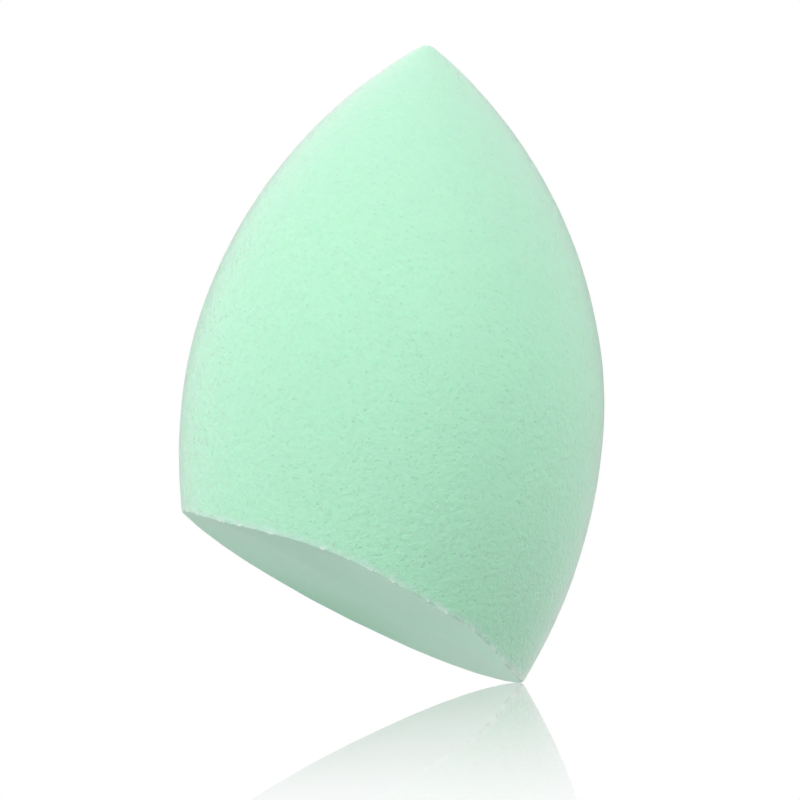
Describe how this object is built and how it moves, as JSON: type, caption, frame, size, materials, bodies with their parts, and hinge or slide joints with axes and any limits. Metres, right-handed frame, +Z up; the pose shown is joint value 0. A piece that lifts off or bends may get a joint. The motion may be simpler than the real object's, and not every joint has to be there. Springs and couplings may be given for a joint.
{
  "type": "makeup sponge",
  "caption": "Teardrop of soft foam with a pointed tip and a slanted flat cut across its wide end, held in the fingers to dab and blend make-up.",
  "frame": {"origin": "centre of the flat cut face", "axes": "+Z up from the cut face into the foam, so that the sponge rests on z = 0; the tip leans towards -X and the deep side of the slanted cut is at +X; the part is the same on both sides of y = 0"},
  "size_m": [0.0443, 0.04, 0.0489],
  "materials": {
    "foam": "matte"
  },
  "bodies": {
    "root": {"foam_body": "foam"}
  },
  "joints": []
}
